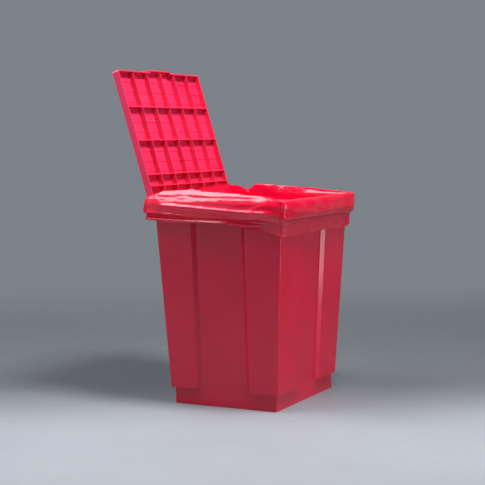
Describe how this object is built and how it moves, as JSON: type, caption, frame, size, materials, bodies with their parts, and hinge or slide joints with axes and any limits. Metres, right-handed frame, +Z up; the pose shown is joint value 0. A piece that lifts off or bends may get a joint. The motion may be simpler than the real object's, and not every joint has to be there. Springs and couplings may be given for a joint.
{
  "type": "dog waste bin",
  "caption": "Free-standing plastic waste bin: tapered panelled tub, hinged ribbed lid resting open, and a film liner folded over the rim.",
  "frame": {"origin": "on the floor under the middle of the tub", "axes": "+Z up, -Y towards the front edge of the lid, +X to the right as seen from the front, hinge axis along X at the back"},
  "size_m": [0.43, 0.4689, 0.8215],
  "materials": {
    "tub_plastic": "smooth glossy injection-moulded polypropylene, crimson",
    "lid_plastic": "satin injection-moulded polypropylene, bright crimson",
    "pin_steel": "bright plated steel",
    "liner_film": "thin shiny polythene film, translucent red"
  },
  "bodies": {
    "tub": {"tub": "tub_plastic", "liner": "liner_film", "hinge_pin_left": "pin_steel", "hinge_pin_right": "pin_steel", "pin_washer_left": "pin_steel", "pin_washer_right": "pin_steel"},
    "lid": {"lid": "lid_plastic"}
  },
  "joints": [
    {"name": "lid_hinge", "type": "hinge", "parent": "tub", "child": "lid", "pos_m": [0, 0.16991, 0.4884], "axis": [1, 0, 0], "range_deg": [0, 107]}
  ]
}
